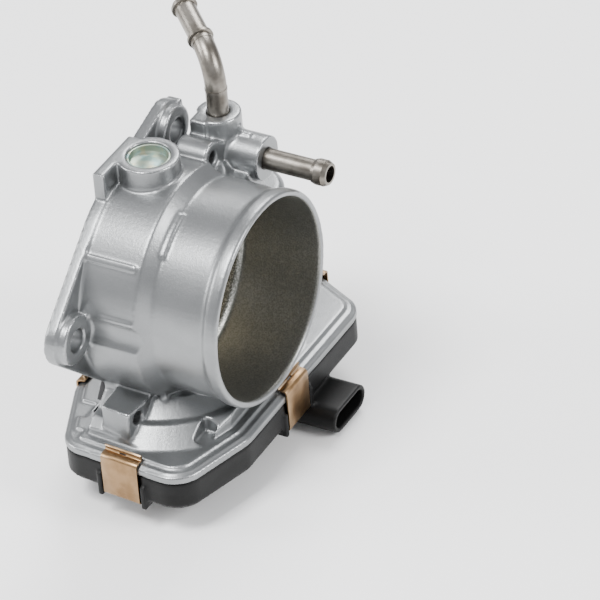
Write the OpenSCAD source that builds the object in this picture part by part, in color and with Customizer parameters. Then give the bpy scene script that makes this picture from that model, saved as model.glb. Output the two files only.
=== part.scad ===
// Electronic throttle body with a driven butterfly valve, a coolant passage and a clipped gear cover.
// The air bore runs along X, from the mating face at X = 0 to the inlet rim. The valve shaft stands
// along Z and passes through the bore axis. The gear case and its cover close the lower end.

/* [Air passage] */
// Bore of the inlet barrel
bore_d = 75; // [62:0.5:92]
// Difference in diameter between the inlet bore and the valve bore
bore_step = 3; // [2:0.5:4]
// Length from the mating face to the inlet rim
body_len = 58; // [52:0.5:72]
// Wall of the inlet barrel
barrel_wall = 1.5; // [1.2:0.1:2]
// Height of the bead at the inlet rim
rim_bead = 1.2; // [0.8:0.1:2]
// Wall of the thicker drum around the valve
drum_wall = 6; // [5.5:0.5:8]

/* [Mounting flange] */
// Thickness of the flange plate
flange_t = 4.5; // [4.2:0.1:6]
// Thickness at the bolt bosses
boss_t = 8; // [6.5:0.5:10]
// Diameter of the bolt holes
bolt_hole_d = 9; // [6.5:0.5:9.5]
// Radius of the ears around the bolt holes
ear_r = 10.5; // [9:0.5:13]
// Distance from the wall of the inlet bore to the bolt centres
bolt_gap = 13; // [12:0.5:18]
// Radial thickness of the flange gasket
gasket_w = 3; // [2.5:0.1:3.5]
// Height of the flange gasket
gasket_h = 4.6; // [4:0.1:5]

/* [Valve] */
// Distance from the mating face to the bearing seats
bearing_set = 4.5; // [4.5:0.1:8]
// Diameter of the valve shaft
shaft_d = 8; // [7:0.5:9]
// Thickness of the valve plate
plate_t = 2.2; // [1.6:0.1:2.6]
// Gap between the valve plate and the bore
plate_gap = 0.15; // [0.1:0.05:0.3]
// Outer diameter of the shaft bearings
bearing_od = 16; // [15:0.5:19]
// Width of the shaft bearings
bearing_w = 5; // [4:0.5:6]

/* [Gear train] */
// Size of the gear teeth, as the pitch diameter for each tooth
gear_module = 0.8; // [0.75:0.05:0.9]
// Teeth on each of the two pinions
pinion_teeth = 12; // [11:1:14]
// Face width of the sector gear
sector_w = 4.6; // [3.5:0.1:5]
// Face width of the large intermediate gear
wheel_w = 4; // [3:0.1:4.2]
// Angle that the valve opens through
opening = 84; // [70:1:88]

/* [Motor] */
// Diameter of the motor can
motor_d = 28; // [24:0.5:30]
// Length of the motor can
motor_len = 42; // [36:0.5:46]

/* [Case and cover] */
// Width of the rim where the case meets its cover
case_rim = 4.5; // [4.2:0.1:6]
// Wall of the plastic cover
cover_wall = 2.4; // [2:0.1:3]
// Depth of the plain part of the cover
cover_h = 12; // [11.5:0.5:14]
// Depth of the cover's dome below its plain part
dome_h = 10.5; // [10:0.5:13]

/* [Coolant fittings] */
// Outer diameter of the coolant tubes
tube_d = 8; // [7:0.5:9]
// Wall of the coolant tubes
tube_wall = 0.9; // [0.7:0.1:1.2]
// Length of the straight tube outside its boss
straight_len = 25.5; // [20:0.5:36]
// Angle of the bend in the other tube
tube_bend = 75; // [0:5:90]

/* [Hidden] */
$fn = 96;
eps = 0.5;
bulge = 0.02;

// Air passage
bore_r = bore_d / 2;
valve_r = (bore_d - bore_step) / 2;
step_x = body_len * 0.45;
barrel_r = bore_r + barrel_wall;
rim_r = barrel_r + rim_bead;
drum_r = bore_r + drum_wall;
drum_end = body_len * 0.46;
drum_cone = body_len * 0.54;

// Flange, in the plane of the mating face: angles are measured from +Y towards +Z
ear_angles = [178, 57, 15];
bolt_r = bore_r + bolt_gap;
groove_in = valve_r + 1.7;
groove_depth = gasket_h - 0.4;
gasket_fit = 0.15;
tab_angle = -125;
tab_w = 4.6;
tab_len = 11;

// Levels of the valve shaft and its seats, from the top down
plug_h = 4;
bearing_gap = 0.02;
shaft_r = shaft_d / 2;
bearing_r = bearing_od / 2;
shaft_x = bearing_set + bearing_r;
seat_wall = 3.5;
seal_h = 2.5;
seal_r = bearing_r - 1;
upper_seat = valve_r + seat_wall + 1;
upper_end = upper_seat + bearing_w;
plug_z = upper_end + 0.4;
top_z = plug_z + plug_h + 0.8;
top_boss_r = bearing_r + 3.4;
seal_z = -(valve_r + seat_wall);
lower_seat = seal_z - seal_h;
lower_end = lower_seat - bearing_w;
shaft_top = upper_end - 0.4;

// Levels of the case, from its joint with the cover
joint_z = lower_end - 2;
roof_z = joint_z + 2.5;
lip_z = joint_z + 3;
deck_z = joint_z + 5;
tier_z = joint_z + 11;
crown_z = joint_z + 16;
cover_z = joint_z - cover_h;
floor_z = cover_z + cover_wall;
dome_z = cover_z - dome_h;
dome_floor = dome_z + cover_wall;

// Motor: it stands beside the drum, parallel to the valve shaft
motor_r = motor_d / 2;
motor_fit = 0.3;
motor_wall = 2.7;
pocket_r = motor_r + motor_fit;
motor_x = shaft_x + 2;
motor_y = valve_r + motor_r + 4.5;
plate2_t = 2;
motor_z = roof_z + plate2_t;
motor_top = motor_z + motor_len;
pocket_top = motor_top + 2.3;
motor_roof = pocket_top + 3;
ear_reach = pocket_r + 3.2;
motor_shaft_d = 3.2;
bush_r = 4;

// Gear train: the intermediate axis closes a triangle between the valve shaft and the motor
motor_dist = norm([motor_x - shaft_x, motor_y]);
tooth_unit = round(motor_dist * 0.22 / gear_module);
sector_teeth = 4 * tooth_unit;
wheel_teeth = sector_teeth - 6;
far_r = (sector_teeth + pinion_teeth) * gear_module / 2;
near_r = (wheel_teeth + pinion_teeth) * gear_module / 2;
motor_dir = atan2(motor_y, motor_x - shaft_x);
along = (far_r * far_r - near_r * near_r + motor_dist * motor_dist) / (2 * motor_dist);
aside = sqrt(max(0, far_r * far_r - along * along));
mid_x = shaft_x + along * cos(motor_dir) + aside * sin(motor_dir);
mid_y = along * sin(motor_dir) - aside * cos(motor_dir);
mid_dir = atan2(mid_y, mid_x - shaft_x);
drive_dir = atan2(motor_y - mid_y, motor_x - mid_x);
sector_r = sector_teeth * gear_module / 2;
wheel_r = wheel_teeth * gear_module / 2;
sector_margin = 12;
sector_count = ceil((opening + 2 * sector_margin) * sector_teeth / 360);
pressure = 25;
addendum = 0.85 * gear_module;
dedendum = 1.15 * gear_module;
backlash = 0.16;
mesh_gap = 0.8;
wheel_top = lower_end - 0.6;
wheel_bottom = wheel_top - wheel_w;
sector_top = wheel_bottom - mesh_gap;
sector_bottom = sector_top - sector_w;
small_bottom = sector_bottom - 0.4;
pin_d = 5;
pin_gap = 0.04;
pin_top = tier_z;
hub_r = 7;
hub_bottom = sector_bottom - 5;
magnet_h = 2.5;
magnet_r = 5;
pinion_top = lower_end + 0.2;
pinion_bottom = wheel_bottom - 0.4;

// Return spring
wire_d = 1.4;
spring_r = hub_r + 2.6;
spring_turns = 3;
spring_top = sector_bottom - 0.3 - wire_d / 2;
spring_pitch = wire_d + 0.15;

// Sensor board and connector
board_t = 1.6;
board_z = dome_floor + 1.6;
board_inset = cover_wall + 0.6;
board_x1 = mid_x + 25 - board_inset;
board_posts = [[shaft_x - 8, -6], [shaft_x + 8, -6], [mid_x + 16, mid_y - 6], [mid_x + 10, mid_y + 10]];
plug_len = 11.5;
shroud_h = 10.2;
shroud_w = 24;
shroud_wall = 1.8;
shroud_y = mid_y + 1.0925;
shroud_z = dome_z + shroud_h / 2;
cavity_depth = 13;
pin_count = 6;
pin_pitch = 2.8;
pin_size = 0.7;

// Outline of the gear case in plan, as circles [x, y, radius] that straight edges join
sector_tip = sector_r + addendum;
back_x = shaft_x - sector_tip - 0.8 - cover_wall;
front_x = body_len;
side_y = motor_y + pocket_r + 6.2;
left_y = -(bore_r + 18);
case_corners = [
    [back_x + 10, -20, 10], [shaft_x - 8, left_y + 13, 10.5], [front_x - 18.5, left_y + 12, 12],
    [front_x - 10, -22, 10], [front_x - 11, side_y - 19, 11], [motor_x + 15.5, side_y - 14, 14],
    [back_x + 10, side_y - 13, 10]];
dome_corners = [[shaft_x, 0, 18], [mid_x + 8, mid_y + 2, 17], [mid_x - 3, mid_y + 6, 14]];

// Clips: [edge of the outline, place along it]; then [x, y, direction that the clip faces]
clip_w = 15.5;
clip_t = 0.8;
clip_gap = 0.15;
clip_h = joint_z - cover_z;
front_clip_y = mid_y - 16.77;
clip_seats = [[1, 0.53], [3, (front_clip_y + 22) / (side_y + 3)], [6, 0.9], [5, 0]];
clips = [for (c = clip_seats)
    clip_at(case_corners[c[0]], case_corners[(c[0] + 1) % len(case_corners)], c[1])];

// Coolant block
cool_x = shaft_x + 6.9;
cool_y = bore_r + 0.5;
cool_z = bore_r - 6;
cool_top = cool_z + 16;
cool_r = tube_d / 2 + 4.4;
cool_face = cool_x + 19;
tube_r = tube_d / 2;
tube_seat = 11;
bend_r = 14;
bend_dir = 140;
rise = 9.5;
bend_tail = 1.5;
nipple = 17;
bead_h = 0.9;
bead_w = 1.8;

// Tapped bosses
tap_r = 2.5;
tap_depth = 13;
tap_hi = [shaft_x + 12.8, bore_r - 15.2, bore_r + 0.7];
tap_lo = [shaft_x + 10, -(bore_r + 3), -(bore_r - 2.6)];

// Places a child drawn in plan so that its X and Y lie along Y and Z, and extrudes it along +X
module across_x(x0, len) {
    translate([x0, 0, 0]) rotate([90, 0, 90]) linear_extrude(len) children();
}

// A cylinder along X
module rod_x(x0, y, z, r, len) {
    translate([x0, y, z]) rotate([0, 90, 0]) cylinder(r = r, h = len);
}

// A cylinder along Z between two levels
module rod_z(x, y, z0, z1, r) {
    translate([x, y, min(z0, z1)]) cylinder(r = r, h = abs(z1 - z0));
}

// A ring along Z between two levels
module ring_z(x, y, z0, z1, r_in, r_out) {
    translate([x, y, min(z0, z1)]) difference() {
        cylinder(r = r_out, h = abs(z1 - z0));
        translate([0, 0, -eps]) cylinder(r = r_in, h = abs(z1 - z0) + 2 * eps);
    }
}

function polar(r, a) = [r * cos(a), r * sin(a)];

// Direction of the outer tangent from circle a to circle b, on the right of the way from a to b
function tangent_dir(a, b) = let(v = [b[0] - a[0], b[1] - a[1]])
    atan2(v[1], v[0]) - 90 + asin((a[2] - b[2]) / norm(v));

function tangent_points(a, b, inset) = let(n = tangent_dir(a, b))
    [[a[0], a[1]] + polar(a[2] - inset, n), [b[0], b[1]] + polar(b[2] - inset, n)];

// Place and direction of a point on the straight edge between circles a and b
function clip_at(a, b, t) = let(p = tangent_points(a, b, 0))
    [p[0][0] * (1 - t) + p[1][0] * t, p[0][1] * (1 - t) + p[1][1] * t, tangent_dir(a, b)];

// Flat shape bounded by circles that straight edges join, counter-clockwise, moved in by inset.
// The circles are a hair larger than the edges' tangent circles, so that they cross the edges cleanly.
module round_outline(corners, inset = 0) {
    last = len(corners) - 1;
    polygon([for (i = [0:last]) each tangent_points(corners[i], corners[i == last ? 0 : i + 1], inset)]);
    for (c = corners) translate([c[0], c[1]]) circle(r = c[2] - inset + bulge);
}

module slab(corners, inset, z0, z1) {
    translate([0, 0, min(z0, z1)]) linear_extrude(abs(z1 - z0)) round_outline(corners, inset);
}

// ---- housing ----

function ear_at(a) = polar(bolt_r, a);

// Outline of the flange: the drum circle and three ears with straight sides
module flange_outline() {
    circle(r = drum_r + 0.5 + bulge);
    for (a = ear_angles) {
        e = [ear_at(a)[0], ear_at(a)[1], ear_r];
        m = [0, 0, drum_r + 0.5];
        polygon(concat(tangent_points(m, e, 0), tangent_points(e, m, 0)));
        translate(ear_at(a)) circle(r = ear_r + bulge);
    }
}

// Outside of the drum and barrel, turned about the bore axis
module barrel_skin() {
    rotate([0, 90, 0]) rotate_extrude() polygon([[0, 0], [drum_r, 0], [drum_r, drum_end],
        [barrel_r, drum_cone], [barrel_r, body_len - 6.5], [rim_r, body_len - 4.5],
        [rim_r, body_len - 1], [rim_r - 0.6, body_len], [0, body_len]]);
}

// Air passage: the valve bore, a short cone, and the wider inlet bore
module air_bore() {
    rotate([0, 90, 0]) rotate_extrude() polygon([[0, -eps - 20], [valve_r, -eps - 20],
        [valve_r, step_x - 1.5], [bore_r, step_x], [bore_r, body_len - 0.8],
        [bore_r + 0.8 + eps, body_len + eps], [0, body_len + eps]]);
}

module flange_body() {
    across_x(0, flange_t) flange_outline();
    for (a = ear_angles) rod_x(0, ear_at(a)[0], ear_at(a)[1], ear_r - 1.2, boss_t);
    // lug with a flat top beside the upper ear
    lug = ear_at(ear_angles[1]);
    translate([0, lug[0] - 5, lug[1] - 2]) cube([flange_t + 1.4, 14, ear_r - 0.6]);
}

// Upper bearing boss, with the plate that ties its top to the flange
module top_boss() {
    rod_z(shaft_x, 0, valve_r - 6, top_z, top_boss_r);
    translate([0, -18, valve_r - 8]) cube([flange_t, 26, top_z - valve_r + 8]);
    translate([0, -4, valve_r - 2]) cube([shaft_x, 12, top_z - valve_r + 2]);
    translate([shaft_x, 0, valve_r]) cylinder(r1 = shaft_x - 0.3, r2 = top_boss_r - 0.5, h = drum_r + 4 - valve_r);
}

module coolant_block() {
    rod_z(cool_x, cool_y, cool_z - 14, cool_top, cool_r);
    translate([cool_x - 7, cool_y - 9.5, cool_z - 16]) cube([7, 17.9, cool_top - cool_z + 16]);
    rod_x(cool_x - 7, cool_y, cool_z, cool_r, cool_face - cool_x + 7);
    translate([cool_x, cool_y - 0.9, cool_z]) cube([13, 1.8, cool_r + 1]);
    translate([cool_x, cool_y - 0.9, cool_z]) cube([cool_r + 1, 1.8, 12]);
    // web down to the drum
    translate([cool_x - 7, valve_r - 16, 10]) cube([cool_face - cool_x + 4, 18, cool_z - 12]);
    translate([cool_x - 4, cool_y - 8, cool_z - 18]) cube([18, 13, 18]);
    // tapped boss, with the web that joins it to the block
    across_x(cool_x - 6.9, tap_hi[0] - cool_x + 6.9)
        round_outline([[tap_hi[1], tap_hi[2], tap_r + 3.6], [cool_y - 4, cool_z - 1, tap_r + 3.6]]);
    rod_x(2, tap_hi[1], tap_hi[2], tap_r + 3.6, tap_hi[0] - 2);
}

module motor_tower() {
    rod_z(motor_x, motor_y, lip_z, motor_roof - 2, pocket_r + motor_wall);
    translate([motor_x, motor_y, motor_roof - 2])
        cylinder(r1 = pocket_r + motor_wall, r2 = pocket_r + motor_wall - 2, h = 2);
    translate([shaft_x - 8, valve_r - 4, lip_z]) cube([22, motor_y - valve_r, motor_roof - 6 - lip_z]);
    for (s = [-1, 1]) rod_z(motor_x + s * ear_reach, motor_y, lip_z, deck_z + 7, 5.2);
}

// Domed roof over the sector gear, kept in front of the flange
module sector_dome() {
    intersection() {
        union() {
            translate([shaft_x, 0, deck_z - 1]) cylinder(r1 = 51, r2 = 42, h = tier_z - deck_z + 1);
            translate([shaft_x, 0, tier_z - 0.5]) cylinder(r1 = 40, r2 = 33, h = crown_z - tier_z + 0.5);
        }
        slab(case_corners, case_rim + 3, lip_z, crown_z + 1);
        translate([flange_t, -60, lip_z]) cube([body_len, 120, 40]);
    }
}

// Block that carries the lower tapped hole
module tap_block() {
    translate([0, 0, lip_z]) linear_extrude(tap_lo[2] + 4.6 - lip_z)
        polygon([[shaft_x - 3, tap_lo[1] + 18], [shaft_x - 2, tap_lo[1] - 4.5],
            [tap_lo[0], tap_lo[1] - 5.8], [tap_lo[0] + 1.5, tap_lo[1] + 5], [tap_lo[0], tap_lo[1] + 18]]);
}

module case_body() {
    slab(case_corners, 0, joint_z, lip_z);
    slab(case_corners, 1.8, lip_z, lip_z + 0.8);
    difference() {
        union() {
            slab(case_corners, case_rim - 0.4, lip_z, deck_z);
            sector_dome();
        }
        // two steps at the rear corner and a pocket beside the dome
        translate([back_x, -38, lip_z + 0.8]) cube([14, 9, 6]);
        translate([back_x, left_y, lip_z + 0.8]) cube([17.5, 11, 6]);
        translate([front_x - 15.5, -36, deck_z]) cube([5.5, 9, 9]);
    }
    tap_block();
    // post between the drum and the case
    rod_z(mid_x, mid_y, lip_z, -valve_r + 14, pin_d / 2 + 4);
    rod_z(shaft_x, 0, roof_z, -valve_r, top_boss_r);
    // stiffening webs under the drum and the barrel
    translate([shaft_x + 13.5, -30, tier_z - 2]) cube([2.4, 20, 14]);
    translate([flange_t, -32, deck_z - 1]) cube([14, 2.2, 16]);
}

// Raised marks on the casting
module casting_marks() {
    mark_w = 2.2;
    rotate([142, 0, 0]) translate([4, drum_r - 1, -mark_w / 2]) cube([drum_end - 6, 1.7, mark_w]);
    rotate([174, 0, 0]) translate([drum_end - 14, drum_r - 1, -4.5]) cube([13.5, 1.6, 9]);
    rotate([0, 90, 0]) translate([0, 0, drum_cone - 3.4]) rotate([0, 0, 197])
        rotate_extrude(angle = 26) translate([barrel_r - 1, 0]) square([2, 4.2]);
}

module housing_cuts() {
    air_bore();
    for (a = ear_angles) {
        room = a == ear_angles[1] ? cool_x - 7 - boss_t : 25;
        rod_x(-eps, ear_at(a)[0], ear_at(a)[1], bolt_hole_d / 2, boss_t + 2 * eps);
        rod_x(boss_t, ear_at(a)[0], ear_at(a)[1], ear_r - 1.2, room);
    }
    // gasket groove and the slot for its tab
    rotate([0, 90, 0]) translate([0, 0, -eps]) difference() {
        cylinder(r = groove_in + gasket_w + 2 * gasket_fit, h = groove_depth + eps);
        translate([0, 0, -eps]) cylinder(r = groove_in, h = groove_depth + 3 * eps);
    }
    rotate([tab_angle, 0, 0]) translate([-eps, groove_in + gasket_w - 1, -tab_w / 2 - gasket_fit])
        cube([eps + 3.2, tab_len + 6, tab_w + 2 * gasket_fit]);
    // seats of the valve shaft
    rod_z(shaft_x, 0, upper_seat, top_z + eps, bearing_r);
    rod_z(shaft_x, 0, 0, upper_seat + eps, shaft_r + 0.3);
    rod_z(shaft_x, 0, 0, seal_z - eps, shaft_r + 0.3);
    rod_z(shaft_x, 0, seal_z, lower_seat - eps, seal_r);
    rod_z(shaft_x, 0, lower_seat, lower_end - 3, bearing_r);
    // motor pocket, the recess for its end plate and the screw holes
    rod_z(motor_x, motor_y, roof_z - eps, pocket_top, pocket_r);
    motor_flange(roof_z - 3, motor_z, 0.2);
    for (s = [-1, 1]) rod_z(motor_x + s * ear_reach, motor_y, roof_z, deck_z + 5, 1.5);
    rod_z(mid_x, mid_y, roof_z - 3, pin_top, pin_d / 2);
    // coolant passage and tapped holes
    rod_z(cool_x, cool_y, cool_top - tube_seat, cool_top + eps, tube_r);
    rod_z(cool_x, cool_y, cool_z, cool_top - tube_seat + eps, tube_r - 1);
    rod_x(cool_face - tube_seat, cool_y, cool_z, tube_r, tube_seat + eps);
    rod_x(cool_x, cool_y, cool_z, tube_r - 1, cool_face - cool_x);
    rod_x(tap_hi[0] - tap_depth, tap_hi[1], tap_hi[2], tap_r, tap_depth + eps);
    rod_x(tap_hi[0], tap_hi[1], tap_hi[2], tap_r + 2, 9);
    rod_x(tap_lo[0] - tap_depth, tap_lo[1], tap_lo[2], tap_r, tap_depth + 4);
}

// Space for the gears inside the case
module gear_space() {
    difference() {
        union() {
            slab(case_corners, case_rim, joint_z - eps, roof_z);
            intersection() {
                rod_z(shaft_x, 0, roof_z - eps, tier_z - 3.5, 38);
                slab(case_corners, case_rim + 2.5, roof_z - eps, tier_z);
                translate([flange_t + 3, -60, roof_z - eps]) cube([body_len, 120, 40]);
            }
        }
        rod_z(shaft_x, 0, lower_end, tier_z, bearing_r + 3);
        rod_z(mid_x, mid_y, roof_z, tier_z, pin_d / 2 + 2.5);
        translate([tap_lo[0] - 15, tap_lo[1] - 5, roof_z]) cube([16, 10, 12]);
        rod_z(motor_x, motor_y, roof_z, tier_z, pocket_r + motor_wall);
        translate([shaft_x, 0, roof_z]) cube([bearing_r + 4, 2.4, 8]);
    }
}

module housing() {
    color("silver") difference() {
        union() {
            barrel_skin();
            flange_body();
            top_boss();
            coolant_block();
            motor_tower();
            case_body();
            casting_marks();
        }
        housing_cuts();
        gear_space();
    }
}

// ---- valve ----

module shaft_plug() {
    color("lightcyan") difference() {
        rod_z(shaft_x, 0, plug_z, plug_z + plug_h, bearing_r);
        rod_z(shaft_x, 0, plug_z + 1, plug_z + plug_h + eps, bearing_r - 1);
    }
}

module bearing(z) {
    color("lightgray") difference() {
        ring_z(shaft_x, 0, z, z + bearing_w, shaft_r + bearing_gap, bearing_r);
        for (s = [0, 1]) ring_z(shaft_x, 0, z + s * (bearing_w - 0.4) - (1 - s) * eps,
            z + 0.4 + s * (bearing_w - 0.4 + eps), shaft_r + 1.2, bearing_r - 1);
    }
}

module upper_bearing() { bearing(upper_seat); }

module lower_bearing() { bearing(lower_end); }

module shaft_seal() {
    color("black") ring_z(shaft_x, 0, lower_seat, seal_z, shaft_r + 0.06, seal_r);
}

module throttle_shaft() {
    color("gainsboro") difference() {
        rod_z(shaft_x, 0, hub_bottom + magnet_h, shaft_top, shaft_r);
        translate([shaft_x - plate_t / 2, -shaft_r - eps, -valve_r])
            cube([plate_t, shaft_d + 2 * eps, 2 * valve_r]);
        plate_screw_holes();
    }
}

module plate_screw_holes() {
    for (z = [-14, 14]) rod_x(shaft_x - shaft_d, 0, z, 1.9, 2 * shaft_d);
}

module throttle_plate() {
    color("tan") difference() {
        rod_x(shaft_x - plate_t / 2, 0, 0, valve_r - plate_gap, plate_t);
        plate_screw_holes();
    }
}

module plate_screws() {
    color("gold") for (z = [-14, 14]) difference() {
        union() {
            rod_x(shaft_x - shaft_r, 0, z, 1.9, shaft_d);
            rod_x(shaft_x + shaft_r, 0, z, 3.4, 2);
        }
        translate([shaft_x + shaft_r + 1, -2, z - 0.4]) cube([2, 4, 0.8]);
        translate([shaft_x + shaft_r + 1, -0.4, z - 2]) cube([2, 0.8, 4]);
    }
}

// ---- gears ----

function involute(a) = tan(a) * 180 / PI - a;

// Half angle of a tooth at radius r, for a gear of n teeth
function tooth_half(n, r) = let(p = n * gear_module / 2)
    90 / n - backlash / 2 / p * 180 / PI / 2 + involute(pressure)
    - involute(acos(min(1, p * cos(pressure) / r)));

// One tooth centred on the X axis
module gear_tooth(n) {
    p = n * gear_module / 2;
    low = p - dedendum;
    base = max(low + 0.05, p * cos(pressure));
    tip = p + addendum;
    flank = [for (i = [0:4]) base + (tip - base) * i / 4];
    polygon(concat([polar(low - 0.4, -tooth_half(n, base))], [for (r = flank) polar(r, -tooth_half(n, r))],
        [for (i = [4:-1:0]) polar(flank[i], tooth_half(n, flank[i]))],
        [polar(low - 0.4, tooth_half(n, base))]));
}

// A row of teeth on a round body: first is the angle of the first tooth's centre
module toothed_disc(n, count, first) {
    circle(r = n * gear_module / 2 - dedendum);
    for (i = [0:count - 1]) rotate(first + i * 360 / n) gear_tooth(n);
}

module sector_gear() {
    pitch = 360 / sector_teeth;
    first = mid_dir - (sector_count - 1 - floor(sector_margin / pitch)) * pitch;
    low = sector_r - dedendum;
    span = (sector_count - 1) * pitch;
    color("ivory") difference() {
        translate([shaft_x, 0, 0]) union() {
            translate([0, 0, sector_bottom]) linear_extrude(sector_w) {
                for (i = [0:sector_count - 1]) rotate(first + i * pitch) gear_tooth(sector_teeth);
                intersection() {
                    circle(r = low);
                    polygon([[0, 0], polar(2 * low, first - pitch / 2), polar(2 * low, first + span / 3),
                        polar(2 * low, first + span * 2 / 3), polar(2 * low, first + span + pitch / 2)]);
                }
            }
            translate([0, 0, hub_bottom]) cylinder(r = hub_r, h = sector_top - hub_bottom);
        }
        rod_z(shaft_x, 0, hub_bottom - eps, sector_top + eps, shaft_r);
        rod_z(shaft_x, 0, hub_bottom - eps, hub_bottom + magnet_h, magnet_r);
        // windows that lighten the web
        for (k = [0.2, 0.5, 0.8]) translate([shaft_x, 0, sector_bottom - eps]) rotate(first + span * k)
            translate([14.5, 0, 0]) cylinder(r = 3.4, h = sector_w + 2 * eps);
    }
}

module rotor_magnet() {
    color("dimgray") rod_z(shaft_x, 0, hub_bottom, hub_bottom + magnet_h, magnet_r);
}

// Points of a ring of the spring wire at step i
function coil_ring(i, steps, sides) = let(a = 360 * spring_turns * i / steps,
    z = spring_top - spring_pitch * spring_turns * i / steps)
    [for (k = [0:sides - 1]) let(t = 360 * k / sides)
        [(spring_r + wire_d / 2 * cos(t)) * cos(a) + shaft_x,
            (spring_r + wire_d / 2 * cos(t)) * sin(a), z + wire_d / 2 * sin(t)]];

module return_spring() {
    steps = 30 * spring_turns;
    sides = 8;
    rings = [for (i = [0:steps]) each coil_ring(i, steps, sides)];
    sides_faces = [for (i = [0:steps - 1], k = [0:sides - 1]) let(n = (k + 1) % sides)
        [i * sides + k, (i + 1) * sides + k, (i + 1) * sides + n, i * sides + n]];
    first = [for (k = [0:sides - 1]) k];
    last = [for (k = [sides - 1:-1:0]) steps * sides + k];
    color("slategray") polyhedron(points = rings, faces = concat([first], sides_faces, [last]));
}

module intermediate_pin() {
    color("lightgray") rod_z(mid_x, mid_y, small_bottom - 3.6, pin_top, pin_d / 2);
}

module intermediate_gear() {
    wheel_pitch = 360 / wheel_teeth;
    small_pitch = 360 / pinion_teeth;
    color("ivory") translate([mid_x, mid_y, 0]) difference() {
        union() {
            translate([0, 0, wheel_bottom]) linear_extrude(wheel_w)
                toothed_disc(wheel_teeth, wheel_teeth, drive_dir);
            translate([0, 0, small_bottom]) linear_extrude(wheel_bottom - small_bottom)
                toothed_disc(pinion_teeth, pinion_teeth, mid_dir + 180 + small_pitch / 2);
        }
        translate([0, 0, small_bottom - eps]) cylinder(r = pin_d / 2 + pin_gap, h = 20);
        // recesses between the hub and the rim of the wheel
        translate([0, 0, wheel_bottom - eps]) difference() {
            cylinder(r = wheel_r - 4, h = 1.2 + eps);
            translate([0, 0, -eps]) cylinder(r = 8, h = 3);
        }
    }
}

// ---- motor ----

// Motor end plate: a disc with two ears for the screws
module motor_flange(z0, z1, grow) {
    rod_z(motor_x, motor_y, z0, z1, pocket_r + 1 + grow);
    for (s = [-1, 1]) rod_z(motor_x + s * ear_reach, motor_y, z0, z1, 4.2 + grow);
    translate([motor_x - ear_reach, motor_y - 4.2 - grow, min(z0, z1)])
        cube([2 * ear_reach, 8.4 + 2 * grow, abs(z1 - z0)]);
}

module motor_can() {
    color("gray") difference() {
        rod_z(motor_x, motor_y, motor_z, motor_top, motor_r);
        rod_z(motor_x, motor_y, motor_z - eps, motor_top - 1.2, motor_r - 1);
        rod_z(motor_x, motor_y, motor_top - 2, motor_top + eps, bush_r);
    }
}

module motor_end_plate() {
    color("darkgray") difference() {
        motor_flange(roof_z, motor_z, 0);
        rod_z(motor_x, motor_y, roof_z - eps, motor_z + eps, bush_r);
        for (s = [-1, 1]) rod_z(motor_x + s * ear_reach, motor_y, roof_z - eps, motor_z + eps, 1.5);
    }
}

module motor_screws() {
    color("lightgray") for (s = [-1, 1]) difference() {
        union() {
            rod_z(motor_x + s * ear_reach, motor_y, roof_z, deck_z + 4, 1.5);
            rod_z(motor_x + s * ear_reach, motor_y, roof_z - 1.6, roof_z, 2.8);
        }
        translate([motor_x + s * ear_reach - 1.6, motor_y - 0.35, roof_z - 2]) cube([3.2, 0.7, 1.2]);
    }
}

module motor_magnets() {
    color("dimgray") for (s = [0, 180]) translate([motor_x, motor_y, motor_z + 6]) rotate(s - 60)
        rotate_extrude(angle = 120) translate([motor_r - 3.4, 0]) square([2.4, motor_len - 14]);
}

module motor_bushings() {
    color("peru") {
        ring_z(motor_x, motor_y, roof_z, motor_z + 1.5, motor_shaft_d / 2 + 0.03, bush_r);
        ring_z(motor_x, motor_y, motor_top - 3, motor_top, motor_shaft_d / 2 + 0.03, bush_r);
    }
}

module wave_washer() {
    color("lightgray") ring_z(motor_x, motor_y, motor_top, motor_top + 1.6, motor_r - 5, motor_r - 1);
}

module motor_armature() {
    color("brown") difference() {
        union() {
            rod_z(motor_x, motor_y, motor_z + 9, motor_top - 11, motor_r - 4);
            rod_z(motor_x, motor_y, motor_top - 11, motor_top - 5, motor_r / 2 - 1);
        }
        rod_z(motor_x, motor_y, motor_z, motor_top, motor_shaft_d / 2);
        for (a = [0:60:300]) translate([motor_x, motor_y, motor_z + 8]) rotate(a)
            translate([motor_r - 5.5, -0.9, 0]) cube([4, 1.8, motor_len - 19]);
    }
}

module motor_shaft() {
    color("gainsboro") rod_z(motor_x, motor_y, pinion_bottom, motor_top - 0.6, motor_shaft_d / 2);
}

module motor_pinion() {
    color("goldenrod") translate([motor_x, motor_y, 0]) difference() {
        translate([0, 0, pinion_bottom]) linear_extrude(roof_z - 0.4 - pinion_bottom)
            toothed_disc(pinion_teeth, pinion_teeth, drive_dir + 180 + 180 / pinion_teeth);
        translate([0, 0, pinion_bottom - eps]) cylinder(r = motor_shaft_d / 2, h = 10);
    }
}

// ---- cover ----

// Short obround along X for the connector
module shroud(x0, x1, inset) {
    w = shroud_w - shroud_h;
    r = shroud_h / 2 - inset;
    for (s = [-1, 1]) rod_x(x0, shroud_y + s * w / 2, shroud_z, r, x1 - x0);
    translate([x0, shroud_y - w / 2, shroud_z - r]) cube([x1 - x0, w, 2 * r]);
}

function pin_y(i) = shroud_y + (i - (pin_count - 1) / 2) * pin_pitch;

module pin_bars(grow) {
    x0 = board_x1 + 0.3;
    for (i = [0:pin_count - 1]) translate([x0 - grow, pin_y(i) - pin_size / 2, shroud_z - pin_size / 2])
        cube([front_x + plug_len - 4 - x0 + grow, pin_size, pin_size]);
}

// Pads and ribs beside each clip, in the clip's own frame: X points outwards from the rim
module clip_guard() {
    for (s = [-1, 1]) translate([-4.8, s * (clip_w / 2 + 1.6) - 1, -clip_h - 2.2])
        cube([6, 2, clip_h - 2]);
}

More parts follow.
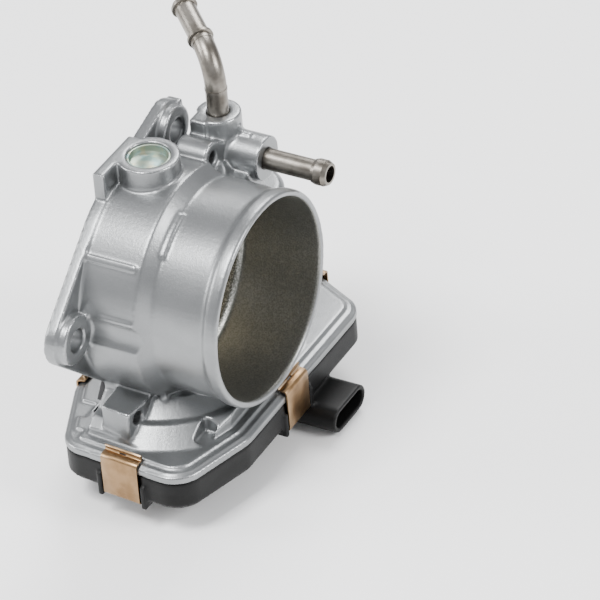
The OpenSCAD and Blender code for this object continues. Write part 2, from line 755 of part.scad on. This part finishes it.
module gear_cover() {
    color([0.09, 0.09, 0.1]) difference() {
        union() {
            slab(case_corners, 0.3, cover_z + 1.6, joint_z);
            slab(case_corners, 1.5, cover_z, cover_z + 1.6);
            slab(dome_corners, 0, dome_z + 1.2, cover_z);
            slab(dome_corners, 1.2, dome_z, dome_z + 1.2);
            for (c = clips) translate([c[0], c[1], joint_z]) rotate(c[2]) clip_guard();
            shroud(mid_x + 8, front_x + plug_len, 0);
            translate([mid_x + 8, shroud_y - 8, shroud_z + shroud_h / 2 - 1])
                cube([front_x - mid_x - 12, 16, cover_z - shroud_z - shroud_h / 2 + 1 + eps]);
            translate([front_x - 1, shroud_y - 3, dome_z - 1]) cube([plug_len - 3, 6, 2]);
        }
        difference() {
            union() {
                slab(case_corners, cover_wall + 0.3, floor_z, joint_z - 3);
                slab(case_corners, case_rim, joint_z - 4, joint_z + eps);
                slab(dome_corners, cover_wall, dome_floor, cover_z + 5);
            }
            rod_z(mid_x, mid_y, dome_floor - eps, small_bottom - 0.5, pin_d / 2 + 2.5);
            for (p = board_posts) rod_z(p[0], p[1], dome_floor - eps, board_z, 2);
        }
        rod_z(mid_x, mid_y, small_bottom - 3.6, small_bottom, pin_d / 2);
        slab_ring(joint_z - 1.6, joint_z + eps);
        shroud(front_x + plug_len - cavity_depth, front_x + plug_len + eps, shroud_wall);
        pin_bars(eps);
        for (c = clips) translate([c[0], c[1], joint_z]) rotate(c[2])
            translate([-1.2, -clip_w / 2 - 0.4, -clip_h - eps]) cube([4, clip_w + 0.8, clip_h + 2 * eps]);
    }
}

// Groove of the cover seal, also the seal's own shape
module slab_ring(z0, z1) {
    difference() {
        slab(case_corners, 1.9, z0, z1);
        slab(case_corners, 3.5, z0 - eps, z1 + eps);
    }
}

module cover_seal() {
    color("darkslategray") slab_ring(joint_z - 1.6, joint_z);
}

// One spring clip, as a bent strip drawn in the plane across the rim and pulled out to its width
module clip_strip(points) {
    for (i = [0:len(points) - 2]) hull() {
        translate(points[i]) circle(d = clip_t, $fn = 16);
        translate(points[i + 1]) circle(d = clip_t, $fn = 16);
    }
}

module cover_clips() {
    x = clip_t / 2 + clip_gap;
    hook = [[-3.6, -clip_h - x], [x - 0.7, -clip_h - x], [x, -clip_h + 0.6 - x], [x, 3.7],
        [x - 0.5, 4.4], [x - 1.6, 4.75], [x - 3, 4.8], [x - 3.6, 5.4], [x - 3.7, 6.3], [x - 3.1, 7.1]];
    color([0.65, 0.54, 0.42]) for (c = clips) translate([c[0], c[1], joint_z]) rotate(c[2])
        translate([0, clip_w / 2, 0]) rotate([90, 0, 0]) linear_extrude(clip_w) clip_strip(hook);
}

module sensor_board() {
    color("darkgreen") difference() {
        slab(dome_corners, board_inset, board_z, board_z + board_t);
        rod_z(mid_x, mid_y, board_z - eps, board_z + board_t + eps, pin_d / 2 + 3.3);
    }
}

module sensor_chips() {
    color([0.15, 0.15, 0.17]) {
        translate([shaft_x - 2.5, -3, board_z + board_t]) cube([5, 6, 1.2]);
        translate([mid_x + 10, mid_y - 4, board_z + board_t]) cube([6, 4, 1.2]);
        translate([shaft_x - 2, 10, board_z + board_t]) cube([3, 1.8, 1]);
        translate([shaft_x - 2, 14, board_z + board_t]) cube([3, 1.8, 1]);
    }
}

module connector_pins() {
    color("gold") pin_bars(0);
}

// ---- coolant tubes ----

// Bead rolled on a tube, along Z from 0
module tube_bead() {
    rotate_extrude() polygon([[tube_r - 0.3, 0], [tube_r + bead_h, 0.35], [tube_r + bead_h, bead_w - 0.35],
        [tube_r - 0.3, bead_w]]);
}

// Three hollow lengths of the bent tube, joined by two thin sleeves: the riser, the bend and the nipple
module bent_path() {
    gap = 0.03;
    translate([0, 0, -tube_seat]) tube_length(tube_seat + rise - gap);
    translate([0, 0, rise]) tube_sleeve();
    if (tube_bend > 0) translate([bend_r, 0, rise]) rotate([90, 0, 0]) rotate([0, 0, 180 - tube_bend])
        rotate_extrude(angle = tube_bend) translate([bend_r, 0]) difference() {
            circle(r = tube_r);
            circle(r = tube_r - tube_wall);
        }
    bent_end() tube_sleeve();
    bent_end() translate([0, 0, gap]) tube_length(bend_tail + nipple + bead_w - gap);
}

module tube_sleeve() {
    translate([0, 0, -0.5]) difference() {
        cylinder(r = tube_r + 0.15, h = 1);
        translate([0, 0, -eps]) cylinder(r = tube_r - tube_wall + 0.06, h = 1 + 2 * eps);
    }
}

module tube_length(len) {
    difference() {
        cylinder(r = tube_r, h = len);
        translate([0, 0, -eps]) cylinder(r = tube_r - tube_wall, h = len + 2 * eps);
    }
}

// Frame at the end of the bend
module bent_end() {
    translate([bend_r * (1 - cos(tube_bend)), 0, rise + bend_r * sin(tube_bend)])
        rotate([0, tube_bend, 0]) children();
}

module coolant_tube_bent() {
    color("darkkhaki") translate([cool_x, cool_y, cool_top]) rotate(bend_dir) {
        bent_path();
        bent_end() translate([0, 0, bend_tail]) tube_bead();
        bent_end() translate([0, 0, bend_tail + nipple - 1]) tube_bead();
    }
}

module coolant_tube_straight() {
    tip = cool_face + straight_len;
    color("silver") difference() {
        union() {
            rod_x(cool_face - tube_seat, cool_y, cool_z, tube_r, tube_seat + straight_len);
            translate([tip, cool_y, cool_z]) rotate([0, -90, 0]) rotate_extrude() polygon([
                [tube_r - 0.3, 0], [tube_r + 0.1, 0], [tube_r + bead_h, 1.6], [tube_r + bead_h, 4.6],
                [tube_r + 0.5, 6], [tube_r - 0.3, 6]]);
        }
        rod_x(cool_face - tube_seat - eps, cool_y, cool_z, tube_r - tube_wall,
            tube_seat + straight_len + 2 * eps);
    }
}

// Flange gasket: a ring with rounded edges and a tab that marks its place
module flange_gasket() {
    r0 = groove_in + gasket_fit;
    color([0.12, 0.12, 0.12]) {
        rotate([0, 90, 0]) translate([0, 0, groove_depth - gasket_h]) rotate_extrude()
            polygon([[r0 + 0.5, 0], [r0 + gasket_w - 0.5, 0], [r0 + gasket_w, 0.5],
                [r0 + gasket_w, 1.5], [r0 + gasket_w - 0.4, 1.9], [r0 + gasket_w - 0.4, gasket_h - 1.9],
                [r0 + gasket_w, gasket_h - 1.5], [r0 + gasket_w, gasket_h - 0.5],
                [r0 + gasket_w - 0.5, gasket_h - 0.15], [r0 + 0.5, gasket_h - 0.15], [r0, gasket_h - 0.5],
                [r0, gasket_h - 1.5], [r0 + 0.4, gasket_h - 1.9], [r0 + 0.4, 1.9], [r0, 1.5], [r0, 0.5]]);
        rotate([tab_angle, 0, 0]) translate([0, r0 + gasket_w - 1, -tab_w / 2]) cube([2.8, tab_len, tab_w]);
    }
}

housing();
shaft_plug();
upper_bearing();
lower_bearing();
shaft_seal();
throttle_shaft();
throttle_plate();
plate_screws();
sector_gear();
rotor_magnet();
return_spring();
intermediate_pin();
intermediate_gear();
motor_can();
motor_end_plate();
motor_screws();
motor_magnets();
motor_bushings();
wave_washer();
motor_armature();
motor_shaft();
motor_pinion();
gear_cover();
cover_seal();
cover_clips();
sensor_board();
sensor_chips();
connector_pins();
coolant_tube_bent();
coolant_tube_straight();
flange_gasket();
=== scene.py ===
import math

import bmesh
import bpy
from mathutils import Matrix, Vector


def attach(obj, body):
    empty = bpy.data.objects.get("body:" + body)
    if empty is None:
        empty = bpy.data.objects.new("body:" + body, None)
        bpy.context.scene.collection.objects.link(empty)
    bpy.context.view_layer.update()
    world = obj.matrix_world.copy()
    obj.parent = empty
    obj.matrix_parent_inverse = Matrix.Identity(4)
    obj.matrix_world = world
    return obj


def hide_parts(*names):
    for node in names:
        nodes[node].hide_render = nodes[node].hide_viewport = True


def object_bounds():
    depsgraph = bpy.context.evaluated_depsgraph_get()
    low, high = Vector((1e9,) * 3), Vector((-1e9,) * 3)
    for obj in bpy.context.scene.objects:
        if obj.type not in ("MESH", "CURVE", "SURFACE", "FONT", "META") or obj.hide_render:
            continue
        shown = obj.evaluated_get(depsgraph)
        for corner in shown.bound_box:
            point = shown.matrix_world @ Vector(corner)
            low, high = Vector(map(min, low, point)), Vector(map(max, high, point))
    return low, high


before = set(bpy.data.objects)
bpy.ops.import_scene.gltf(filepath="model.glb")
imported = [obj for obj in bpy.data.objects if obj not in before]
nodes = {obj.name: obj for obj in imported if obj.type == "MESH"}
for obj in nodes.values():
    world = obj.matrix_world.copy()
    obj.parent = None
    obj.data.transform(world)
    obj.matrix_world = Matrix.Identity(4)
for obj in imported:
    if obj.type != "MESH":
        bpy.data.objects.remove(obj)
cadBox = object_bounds()
mm = 0.001


# ---- shader maths ----

class Value:  # a socket in a material, with arithmetic
    def __init__(self, tree, socket):
        self.tree, self.socket = tree, socket

    def math(self, operation, *values):
        node = self.tree.nodes.new("ShaderNodeMath")
        node.operation = operation
        for place, value in enumerate(values):
            if isinstance(value, Value):
                self.tree.links.new(value.socket, node.inputs[place])
            else:
                node.inputs[place].default_value = value
        return Value(self.tree, node.outputs[0])

    def __add__(self, other): return self.math("ADD", self, other)
    def __radd__(self, other): return self.math("ADD", other, self)
    def __sub__(self, other): return self.math("SUBTRACT", self, other)
    def __rsub__(self, other): return self.math("SUBTRACT", other, self)
    def __mul__(self, other): return self.math("MULTIPLY", self, other)
    def __rmul__(self, other): return self.math("MULTIPLY", other, self)
    def over(self, level): return self.math("GREATER_THAN", self, level)
    def under(self, level): return self.math("LESS_THAN", self, level)
    def root(self): return self.math("SQRT", self)

    def ramp(self, low, high):  # 0 below low, 1 above high, smooth between
        node = self.tree.nodes.new("ShaderNodeMapRange")
        node.interpolation_type = "SMOOTHSTEP"
        self.tree.links.new(self.socket, node.inputs["Value"])
        node.inputs["From Min"].default_value = low
        node.inputs["From Max"].default_value = high
        return Value(self.tree, node.outputs["Result"])


class Finish:  # a material under construction, with its Principled shader
    def __init__(self, name, **constants):
        self.material = bpy.data.materials.new(name)
        self.material.use_nodes = True
        self.tree = self.material.node_tree
        self.shader = self.tree.nodes["Principled BSDF"]
        for socket, value in constants.items():
            self.shader.inputs[socket.replace("_", " ")].default_value = value
        self.place = self.node("ShaderNodeTexCoord", out="Object")
        parts = self.tree.nodes.new("ShaderNodeSeparateXYZ")
        self.tree.links.new(self.place.socket, parts.inputs[0])
        self.x, self.y, self.z = (Value(self.tree, parts.outputs[i]) for i in range(3))

    def node(self, kind, settings=None, inputs=None, out=0):
        node = self.tree.nodes.new(kind)
        for key, value in (settings or {}).items():
            if key == "stops":
                for element, (position, color) in zip(node.color_ramp.elements, value):
                    element.position, element.color = position, color
            else:
                setattr(node, key, value)
        for key, value in (inputs or {}).items():
            if isinstance(value, Value):
                self.tree.links.new(value.socket, node.inputs[key])
            else:
                node.inputs[key].default_value = value
        return Value(self.tree, node.outputs[out])

    def noise(self, scale, detail=3.0, roughness=0.55, vector=None):
        return self.node("ShaderNodeTexNoise", {}, {"Vector": vector or self.place, "Scale": scale,
                         "Detail": detail, "Roughness": roughness}, "Fac")

    def cells(self, scale, vector=None):
        return self.node("ShaderNodeTexVoronoi", {}, {"Vector": vector or self.place, "Scale": scale},
                         "Distance")

    def edges(self):  # 0.5 on flat skin, more on a sharp edge, less in a corner
        return self.node("ShaderNodeNewGeometry", out="Pointiness")

    def stretched(self, x, y, z):  # object coordinates with each axis scaled
        return self.node("ShaderNodeMapping", {}, {"Vector": self.place, "Scale": (x, y, z)})

    def mix(self, amount, first, second):
        node = self.tree.nodes.new("ShaderNodeMix")
        node.data_type = "RGBA"
        for key, value in (("Factor", amount), (6, first), (7, second)):
            socket = node.inputs[0] if key == "Factor" else node.inputs[key]
            if isinstance(value, Value):
                self.tree.links.new(value.socket, socket)
            else:
                socket.default_value = value if key == "Factor" else (*value, 1)
        return Value(self.tree, node.outputs[2])

    def feed(self, socket, value):
        self.tree.links.new(value.socket, self.shader.inputs[socket])

    def bump(self, height, distance, strength=1.0):
        self.feed("Normal", self.node("ShaderNodeBump", {}, {"Height": height, "Distance": distance,
                                                            "Strength": strength}))


def grey(level, warm=0.0):
    return (level * (1 + warm), level, level * (1 - warm))


# ---- finishes ----

# the light grey edge colour is a painted highlight on sharp edges
castLook = {"light": (0.165, 0.172, 0.175), "dark": (0.102, 0.108, 0.111), "edgeHighlight": (0.46, 0.47, 0.48),
            # the near-black corner colour is a painted shade in corners and creases
            "cornerShade": (0.022, 0.024, 0.025), "rough": 0.34, "grain": 1900.0, "boreRadius": 0.03792,
            "valveStep": 0.0262, "rimFace": 0.0577, "matingFace": 0.0004}


def castAluminium():  # die-cast skin, with the turned air passage and faces in the same metal
    look = castLook
    f = Finish("castAluminium", Metallic=0.88)
    cloud = f.noise(34, 4)
    flow = f.noise(1.0, 3, vector=f.stretched(40, 90, 60))
    grain = f.noise(look["grain"], 3)
    pits = f.cells(780)
    edge = f.edges()
    # painted highlight: sharp convex edges (high pointiness) get a lighter colour; the same mask also
    # lowers roughness
    edgeHighlight = edge.ramp(0.512, 0.56)
    # painted shade: concave corners and creases (low pointiness) are masked here; the same mask also raises
    # roughness
    low = 1 - edge.ramp(0.42, 0.488)
    color = f.mix((cloud * 0.6 + flow * 0.4).ramp(0.36, 0.64), look["dark"], look["light"])
    color = f.mix(grain.ramp(0.45, 0.75) * 0.3, color, (0.25, 0.256, 0.26))
    # painted highlight: sharp edges mixed towards light grey
    color = f.mix(edgeHighlight * 0.65, color, look["edgeHighlight"])
    # painted shade: corners and creases mixed towards near black
    color = f.mix(low * 0.75, color, look["cornerShade"])
    # turned surfaces: the passage inside the bore radius, the rim's face and the mating face
    radius = (f.y * f.y + f.z * f.z).root()
    bore = radius.under(look["boreRadius"]) * f.x.over(0.0003)
    deep = 1 - f.x.ramp(look["valveStep"] - 0.0012, look["valveStep"])
    speck = f.noise(1500, 2)
    boreColor = f.mix(speck.ramp(0.35, 0.7), (0.19, 0.19, 0.175), (0.27, 0.27, 0.25))
    seat = f.mix(speck.ramp(0.46, 0.6), (0.16, 0.16, 0.145), (0.42, 0.42, 0.39))
    boreColor = f.mix(deep * 0.85, boreColor, seat)
    color = f.mix(bore, color, boreColor)
    faced = (f.x.over(look["rimFace"]) + f.x.under(look["matingFace"])).math("MINIMUM", 1.0)
    faced = faced * radius.over(look["boreRadius"])
    color = f.mix(faced, color, f.mix(cloud, (0.26, 0.266, 0.27), (0.40, 0.408, 0.414)))
    f.feed("Base Color", color)
    f.feed("Roughness", (look["rough"] + grain * 0.16 - edgeHighlight * 0.12 + low * 0.1) * (1 - bore * 0.1)
           - faced * 0.14)
    rings = f.noise(1.0, 2, vector=f.stretched(3600, 12, 12))
    skin = grain * 0.6 + pits * 0.25 + cloud * 1.4 + flow * 0.5
    f.bump(skin * (1 - bore) * (1 - faced * 0.8) + bore * (rings * 0.5 + speck * deep), 0.0002, 0.55)
    return f.material


def turnedMetal(name, low, high, rough, axis, metallic=1.0):  # fine tool marks round one axis
    f = Finish(name, Metallic=metallic)
    marks = f.noise(1.0, 3, vector=f.stretched(*[3200 if axis == i else 30 for i in range(3)]))
    stain = f.noise(90, 3)
    f.feed("Base Color", f.mix(stain.ramp(0.3, 0.7) * 0.7 + marks * 0.3, low, high))
    f.feed("Roughness", rough + marks * 0.14 + stain * 0.06)
    f.bump(marks, 0.00008, 0.6)
    return f.material


def drawnTube():  # stainless tube, long faint draw marks
    f = Finish("drawnTube", Metallic=1.0)
    lines = f.noise(1.0, 4, vector=f.stretched(120, 1400, 1400))
    stain = f.noise(140, 3)
    f.feed("Base Color", f.mix(stain.ramp(0.3, 0.75), (0.14, 0.126, 0.108), (0.29, 0.27, 0.24)))
    f.feed("Roughness", 0.24 + lines * 0.2)
    f.bump(lines + stain * 0.4, 0.00006, 0.5)
    return f.material


def zincPlug():  # yellow and blue-green passivated zinc
    f = Finish("zincPlug", Metallic=0.9)
    drift = f.noise(210, 3)
    fine = f.noise(1600, 2)
    color = f.mix(drift.ramp(0.36, 0.6), (0.20, 0.30, 0.29), (0.31, 0.36, 0.29))
    color = f.mix(f.noise(320, 2).ramp(0.55, 0.72) * 0.6, color, (0.42, 0.37, 0.23))
    f.feed("Base Color", color)
    f.feed("Roughness", 0.3 + fine * 0.2)
    f.bump(fine + drift, 0.00006, 0.5)
    return f.material


def springBronze():
    f = Finish("springBronze", Metallic=1.0)
    along = f.noise(1.0, 3, vector=f.stretched(260, 260, 2200))
    stain = f.noise(170, 3)
    edge = f.edges()
    color = f.mix(stain.ramp(0.3, 0.7), (0.20, 0.118, 0.055), (0.30, 0.19, 0.10))
    # painted highlight: sharp edges mixed towards a light bronze
    f.feed("Base Color", f.mix(edge.ramp(0.52, 0.6) * 0.6, color, (0.62, 0.48, 0.33)))
    f.feed("Roughness", 0.26 + along * 0.16)
    f.bump(along, 0.00005, 0.5)
    return f.material


def mouldedBlack(name="mouldedBlack", level=0.0035, rough=0.42):
    f = Finish(name, IOR=1.42, Specular_IOR_Level=0.22)
    grain = f.noise(2300, 2)
    flow = f.noise(60, 4, vector=f.stretched(1, 1, 3))
    dust = f.noise(700, 3)
    edge = f.edges()
    color = f.mix(flow.ramp(0.3, 0.75), grey(level), grey(level * 1.9))
    color = f.mix(dust.ramp(0.6, 0.8) * 0.4, color, grey(level * 3.4, 0.02))
    # painted highlight: sharp edges mixed towards a lighter grey
    color = f.mix(edge.ramp(0.52, 0.6) * 0.5, color, grey(level * 4))
    f.feed("Base Color", color)
    f.feed("Roughness", rough + grain * 0.14 - flow * 0.08)
    f.bump(grain + flow * 0.3, 0.00009, 0.45)
    return f.material


def rubberBlack():
    f = Finish("rubberBlack", IOR=1.45)
    grain = f.noise(1500, 3)
    bloom = f.noise(160, 3)
    f.feed("Base Color", f.mix(bloom.ramp(0.4, 0.75), (0.022, 0.022, 0.023), (0.05, 0.05, 0.052)))
    f.feed("Roughness", 0.62 + grain * 0.2)
    f.bump(grain, 0.00008, 0.5)
    return f.material


def mouldedNylon():
    f = Finish("mouldedNylon", IOR=1.52, Subsurface_Weight=0.1)
    flow = f.noise(110, 4)
    f.feed("Base Color", f.mix(flow.ramp(0.3, 0.7), (0.60, 0.56, 0.46), (0.72, 0.69, 0.6)))
    f.feed("Roughness", 0.42 + flow * 0.15)
    f.bump(f.noise(1800, 2), 0.00005, 0.4)
    return f.material


def boardLacquer():
    f = Finish("boardLacquer", IOR=1.5)
    weave = f.node("ShaderNodeTexWave", {"wave_type": "BANDS", "bands_direction": "X"},
                   {"Vector": f.place, "Scale": 320.0}, "Fac")
    weave = weave * f.node("ShaderNodeTexWave", {"wave_type": "BANDS", "bands_direction": "Y"},
                           {"Vector": f.place, "Scale": 320.0}, "Fac")
    f.feed("Base Color", f.mix(weave * 0.6, (0.012, 0.09, 0.035), (0.03, 0.16, 0.07)))
    f.feed("Roughness", 0.25 + weave * 0.15)
    f.bump(weave, 0.00004, 0.4)
    return f.material


def armatureLook():
    f = Finish("armatureLook", Metallic=0.5)
    layers = f.node("ShaderNodeTexWave", {"wave_type": "BANDS", "bands_direction": "Z"},
                    {"Vector": f.place, "Scale": 900.0}, "Fac")
    f.feed("Base Color", f.mix(layers, (0.2, 0.2, 0.21), (0.42, 0.24, 0.13)))
    f.feed("Roughness", 0.4 + layers * 0.2)
    f.bump(layers, 0.00008, 0.6)
    return f.material


def paint(obj, material):
    obj.data.materials.clear()
    obj.data.materials.append(material)


print("finishes")
cast = castAluminium()
black = mouldedBlack()
rubber = rubberBlack()
zinc = zincPlug()
tubeSteel = drawnTube()
bronze = springBronze()
nylon = mouldedNylon()
shaftSteel = turnedMetal("shaftSteel", (0.4, 0.4, 0.41), (0.62, 0.62, 0.63), 0.24, 2)
plateBrass = turnedMetal("plateBrass", (0.42, 0.36, 0.24), (0.62, 0.55, 0.4), 0.3, 1)
bearingSteel = turnedMetal("bearingSteel", (0.55, 0.55, 0.56), (0.78, 0.78, 0.8), 0.14, 2)
motorSteel = turnedMetal("motorSteel", (0.4, 0.41, 0.43), (0.6, 0.6, 0.62), 0.3, 2)
sinterBronze = turnedMetal("sinterBronze", (0.32, 0.22, 0.12), (0.5, 0.36, 0.2), 0.4, 2)
magnetBlack = mouldedBlack("magnetBlack", 0.02, 0.38)
board = boardLacquer()
windings = armatureLook()

nodeFinish = {
    "housing": cast, "shaft_plug": zinc, "upper_bearing": bearingSteel, "lower_bearing": bearingSteel,
    "shaft_seal": rubber, "throttle_shaft": shaftSteel, "throttle_plate": plateBrass, "plate_screws": zinc,
    "sector_gear": nylon, "rotor_magnet": magnetBlack, "return_spring": shaftSteel,
    "intermediate_pin": shaftSteel, "intermediate_gear": nylon, "motor_can": motorSteel,
    "motor_end_plate": motorSteel, "motor_screws": zinc, "motor_magnets": magnetBlack,
    "motor_bushings": sinterBronze, "wave_washer": shaftSteel, "motor_armature": windings,
    "motor_shaft": shaftSteel, "motor_pinion": sinterBronze, "gear_cover": black, "cover_seal": rubber,
    "cover_clips": bronze, "sensor_board": board, "sensor_chips": magnetBlack, "connector_pins": zinc,
    "coolant_tube_bent": tubeSteel, "coolant_tube_straight": tubeSteel, "flange_gasket": rubber}
for name, material in nodeFinish.items():
    paint(nodes[name], material)


# ---- making pieces ----

def deselect():
    bpy.ops.object.select_all(action="DESELECT")


def only(obj):
    deselect()
    obj.select_set(True)
    bpy.context.view_layer.objects.active = obj


def applyAll(obj):
    only(obj)
    for modifier in list(obj.modifiers):
        bpy.ops.object.modifier_apply(modifier=modifier.name)


def settle(obj, name, material, body, angle=35):  # place into the mesh, smooth, paint, ride
    only(obj)
    bpy.ops.object.transform_apply(location=True, rotation=True, scale=True)
    bpy.ops.object.shade_smooth_by_angle(angle=math.radians(angle))
    obj.name = obj.data.name = name
    if material:
        paint(obj, material)
    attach(obj, body)
    return obj


def weldedCopy(nodeName):  # the node's mesh as one closed skin in a new object
    source = nodes[nodeName]
    obj = source.copy()
    obj.data = source.data.copy()
    bpy.context.collection.objects.link(obj)
    obj.parent = None
    obj.matrix_world = Matrix.Identity(4)
    only(obj)
    bpy.ops.object.mode_set(mode="EDIT")
    bpy.ops.mesh.select_all(action="SELECT")
    bpy.ops.mesh.remove_doubles(threshold=0.000001)
    bpy.ops.object.mode_set(mode="OBJECT")
    return obj


def softened(obj, voxel, passes, share):  # cast or moulded skin with rounded edges and filled corners
    only(obj)
    remesh = obj.modifiers.new("skin", "REMESH")
    remesh.mode, remesh.voxel_size, remesh.use_smooth_shade = "VOXEL", voxel, True
    smooth = obj.modifiers.new("round", "SMOOTH")
    smooth.factor, smooth.iterations = 0.5, passes
    thin = obj.modifiers.new("thin", "DECIMATE")
    thin.ratio = share
    applyAll(obj)
    return obj


def lathe(name, profile, origin, axis, steps=96, closed=True):
    # profile is a list of (distance along the axis, radius) in mm, spun round the axis
    deselect()
    mesh = bpy.data.meshes.new(name)
    points = [Vector((r * mm, 0, a * mm)) for a, r in profile]
    edges = [(i, i + 1) for i in range(len(points) - 1)]
    if closed:
        edges.append((len(points) - 1, 0))
    mesh.from_pydata(points, edges, [])
    obj = bpy.data.objects.new(name, mesh)
    bpy.context.collection.objects.link(obj)
    only(obj)
    bpy.ops.object.mode_set(mode="EDIT")
    bpy.ops.mesh.select_all(action="SELECT")
    bpy.ops.mesh.spin(steps=steps, angle=2 * math.pi, center=(0, 0, 0), axis=(0, 0, 1))
    bpy.ops.mesh.select_all(action="SELECT")
    bpy.ops.mesh.remove_doubles(threshold=0.000002)
    bpy.ops.mesh.normals_make_consistent(inside=False)
    bpy.ops.object.mode_set(mode="OBJECT")
    turn = Vector(axis).to_track_quat("Z", "Y").to_matrix().to_4x4()
    obj.matrix_world = Matrix.Translation([v * mm for v in origin]) @ turn
    return obj


# ---- body casting ----

print("body casting")
casting = {"voxel": 0.00058, "passes": 6, "share": 0.38}
body = softened(weldedCopy("housing"), casting["voxel"], casting["passes"], casting["share"])
settle(body, "bodyCasting", cast, "body", 60)
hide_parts("housing")


# ---- gear cover ----

print("gear cover")
coverMoulding = {"voxel": 0.00055, "passes": 5, "share": 0.3}
cover = softened(weldedCopy("gear_cover"), coverMoulding["voxel"], coverMoulding["passes"],
                 coverMoulding["share"])
settle(cover, "gearCoverMoulding", black, "body", 50)
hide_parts("gear_cover")


# ---- spring clips ----

print("spring clips")
clip = {"width": 15.5, "thick": 0.8, "joint": -49,
        "profile": [(-3.6, -12.55), (-0.15, -12.55), (0.55, -11.95), (0.55, 3.7), (0.05, 4.4),
                    (-1.05, 4.75), (-2.45, 4.8), (-3.05, 5.4), (-3.15, 6.3), (-2.55, 7.1)],
        "across": [-7.75, -2.6, -1.5, 1.5, 2.6, 7.75],
        "seats": [(-15.38, -11.8, -1, 0), (22.244, -54.296, -0.0714, -0.9975), (58.0, 11.54, 1, 0),
                  (28.812, 74.949, -0.0849, 0.9964)]}


def clipStrip():  # one clip at the origin, facing +X
    deselect()
    rows, columns = len(clip["profile"]), len(clip["across"])
    bpy.ops.mesh.primitive_grid_add(x_subdivisions=columns - 1, y_subdivisions=rows - 1, size=2)
    obj = bpy.context.object
    for index, vertex in enumerate(obj.data.vertices):
        x, z = clip["profile"][index // columns]
        vertex.co = (x * mm, clip["across"][index % columns] * mm, z * mm)
    bpy.ops.object.mode_set(mode="EDIT")
    bpy.ops.mesh.select_all(action="DESELECT")
    skin = bmesh.from_edit_mesh(obj.data)
    for face in skin.faces:  # window between the two lances
        centre = face.calc_center_median() / mm
        face.select = abs(centre.y) < 1 and 4.8 < centre.z < 5.6
    bmesh.update_edit_mesh(obj.data)
    bpy.ops.mesh.delete(type="FACE")
    bpy.ops.mesh.select_all(action="SELECT")
    bpy.ops.mesh.normals_make_consistent(inside=False)
    bpy.ops.object.mode_set(mode="OBJECT")
    bend = obj.modifiers.new("bend", "BEVEL")
    bend.limit_method, bend.angle_limit, bend.width, bend.segments = "ANGLE", math.radians(12), 0.35 * mm, 3
    wall = obj.modifiers.new("wall", "SOLIDIFY")
    wall.thickness, wall.offset = clip["thick"] * mm, 0
    edge = obj.modifiers.new("edge", "BEVEL")
    edge.limit_method, edge.angle_limit, edge.width, edge.segments = "ANGLE", math.radians(50), 0.13 * mm, 2
    applyAll(obj)
    return obj


first = clipStrip()
clips = []
for x, y, nx, ny in clip["seats"]:
    copy = first.copy()
    copy.data = first.data.copy()
    bpy.context.collection.objects.link(copy)
    copy.matrix_world = Matrix.Translation((x * mm, y * mm, clip["joint"] * mm)) @ Matrix.Rotation(
        math.atan2(ny, nx), 4, "Z")
    clips.append(copy)
bpy.data.objects.remove(first)
deselect()
for copy in clips:
    copy.select_set(True)
bpy.context.view_layer.objects.active = clips[0]
bpy.ops.object.join()
settle(clips[0], "springClips", bronze, "body", 40)
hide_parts("cover_clips")


# ---- cup plug over the upper bearing ----

print("shaft plug")
plug = {"radius": 8, "low": 45.9, "high": 49.9, "wall": 1, "x": 12.5}
r, low, high, wall = plug["radius"], plug["low"], plug["high"], plug["wall"]
cupOutside = [(low, 0.01), (low, r - 1.1), (low + 0.35, r - 0.35), (low + 1.1, r - 0.01)]
cupLip = [(high - 0.4, r - 0.01), (high - 0.1, r - 0.15), (high, r - 0.5), (high - 0.1, r - 0.85)]
cupInside = [(high - 0.5, r - wall), (low + 2.3, r - wall - 0.05), (low + 1.6, r - wall - 0.4),
             (low + wall + 0.25, r - wall - 1.3), (low + wall + 0.2, 3.4), (low + wall + 0.45, 2.4),
             (low + wall + 0.5, 0.01)]
cup = lathe("shaftCup", cupOutside + cupLip + cupInside, (plug["x"], 0, 0), (0, 0, 1), 96)
settle(cup, "shaftPlugCup", zinc, "body", 40)
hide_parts("shaft_plug")


# ---- camera, floor and light ----

print("camera and light")
camera = {"place": (857.371, -1287.847, 1107.079), "right": (0.876531, 0.476302, -0.069493),
          "up": (-0.233271, 0.546623, 0.804231), "back": (0.421044, -0.688723, 0.59024), "lens": 316.575}
cameraData = bpy.data.cameras.new("camera")
cameraData.lens, cameraData.sensor_width = camera["lens"], 36
cameraData.clip_end = 20
cameraObject = bpy.data.objects.new("camera", cameraData)
turn = Matrix((camera["right"], camera["up"], camera["back"])).transposed().to_4x4()
cameraObject.matrix_world = Matrix.Translation([v * mm for v in camera["place"]]) @ turn
bpy.context.collection.objects.link(cameraObject)
bpy.context.scene.camera = cameraObject

deselect()
bpy.ops.mesh.primitive_plane_add(size=8, location=(0, 0, cadBox[0][2] - 0.0002))
floor = bpy.context.object
floor.name = "floor"
floorLook = Finish("paleFloor", Roughness=0.6)
floorLook.feed("Base Color", floorLook.mix(floorLook.noise(3, 2), grey(0.93), grey(0.96)))
paint(floor, floorLook.material)

lights = [  # name, place, size, power
    ("keyLight", (-0.35, -0.9, 1.9), 0.7, 62),
    ("leftLight", (-1.7, -0.9, 0.9), 0.8, 26),
    ("rightLight", (1.7, 0.2, 1.2), 0.7, 36),
    ("backLight", (-0.3, 1.7, 1.7), 1.1, 52)]
for name, place, size, power in lights:
    data = bpy.data.lights.new(name, "AREA")
    data.shape, data.size, data.energy = "SQUARE", size, power
    lamp = bpy.data.objects.new(name, data)
    lamp.location = place
    lamp.rotation_euler = (Vector((0.03, 0, 0)) - Vector(place)).to_track_quat("-Z", "Y").to_euler()
    bpy.context.collection.objects.link(lamp)
world = bpy.data.worlds.new("studio")
bpy.context.scene.world = world
world.use_nodes = True
world.node_tree.nodes["Background"].inputs["Color"].default_value = (0.96, 0.97, 1, 1)
world.node_tree.nodes["Background"].inputs["Strength"].default_value = 0.72
